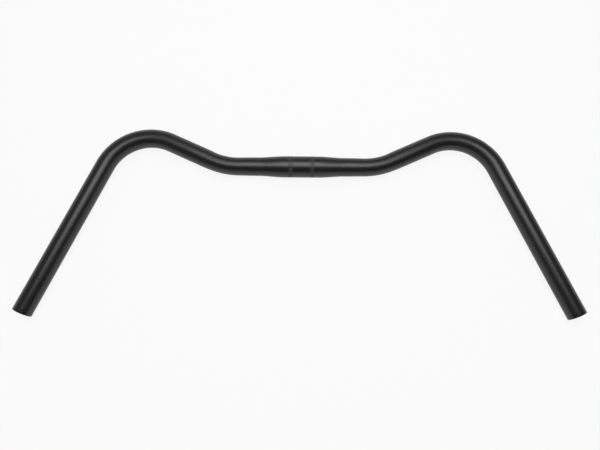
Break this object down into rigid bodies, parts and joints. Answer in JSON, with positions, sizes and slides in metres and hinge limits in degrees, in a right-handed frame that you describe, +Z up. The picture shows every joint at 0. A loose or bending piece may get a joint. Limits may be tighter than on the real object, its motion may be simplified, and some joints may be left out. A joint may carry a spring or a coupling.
{
  "type": "cruiser handlebar",
  "caption": "Cruiser handlebar: a swaged tube bent flat, ahead and then back on each side, with a knurled clamp zone at its centre and open ends.",
  "frame": {"origin": "centre of the clamp zone, on the tube's axis", "axes": "+X along the clamp zone, +Y straight ahead, away from the rider, +Z up from the flat surface that the bar lies on"},
  "size_m": [0.649, 0.225, 0.0254],
  "materials": {
    "black_finish": "black satin anodised aluminium"
  },
  "bodies": {
    "root": {"handlebar": "black_finish"}
  },
  "joints": []
}
